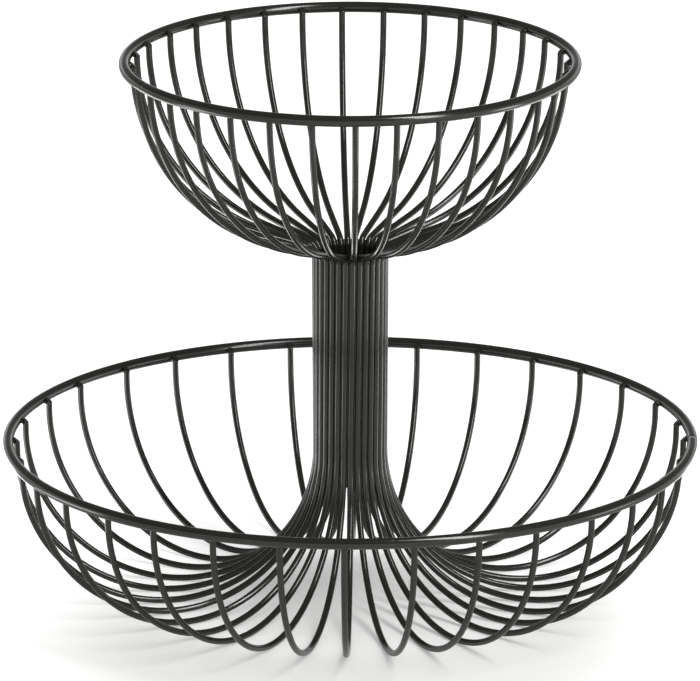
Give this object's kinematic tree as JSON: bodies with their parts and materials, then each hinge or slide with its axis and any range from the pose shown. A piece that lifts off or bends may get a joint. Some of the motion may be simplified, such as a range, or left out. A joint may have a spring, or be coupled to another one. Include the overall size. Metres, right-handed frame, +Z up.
{
  "type": "tiered wire basket",
  "caption": "Round two-tier basket of bent black wire: a wide lower trough round a close column of upright wires that opens into a smaller upper bowl.",
  "frame": {"origin": "on the table top, under the middle of the column, level with the lowest points of the ribs", "axes": "+Z up along the column; -Y is the side that faces the camera in the picture, and +X is to its right"},
  "size_m": [0.33, 0.33, 0.2633],
  "materials": {
    "black_powder_coat": "satin"
  },
  "bodies": {
    "root": {"rib_wire_01": "black_powder_coat", "rib_wire_02": "black_powder_coat", "rib_wire_03": "black_powder_coat", "rib_wire_04": "black_powder_coat", "rib_wire_05": "black_powder_coat", "rib_wire_06": "black_powder_coat", "rib_wire_07": "black_powder_coat", "rib_wire_08": "black_powder_coat", "rib_wire_09": "black_powder_coat", "rib_wire_10": "black_powder_coat", "rib_wire_11": "black_powder_coat", "rib_wire_12": "black_powder_coat", "rib_wire_13": "black_powder_coat", "rib_wire_14": "black_powder_coat", "rib_wire_15": "black_powder_coat", "rib_wire_16": "black_powder_coat", "rib_wire_17": "black_powder_coat", "rib_wire_18": "black_powder_coat", "rib_wire_19": "black_powder_coat", "rib_wire_20": "black_powder_coat", "rib_wire_21": "black_powder_coat", "rib_wire_22": "black_powder_coat", "rib_wire_23": "black_powder_coat", "rib_wire_24": "black_powder_coat", "rib_wire_25": "black_powder_coat", "rib_wire_26": "black_powder_coat", "rib_wire_27": "black_powder_coat", "rib_wire_28": "black_powder_coat", "rib_wire_29": "black_powder_coat", "rib_wire_30": "black_powder_coat", "rib_wire_31": "black_powder_coat", "rib_wire_32": "black_powder_coat", "lower_rim": "black_powder_coat", "upper_rim": "black_powder_coat", "lower_column_ring": "black_powder_coat", "upper_column_ring": "black_powder_coat"}
  },
  "joints": []
}
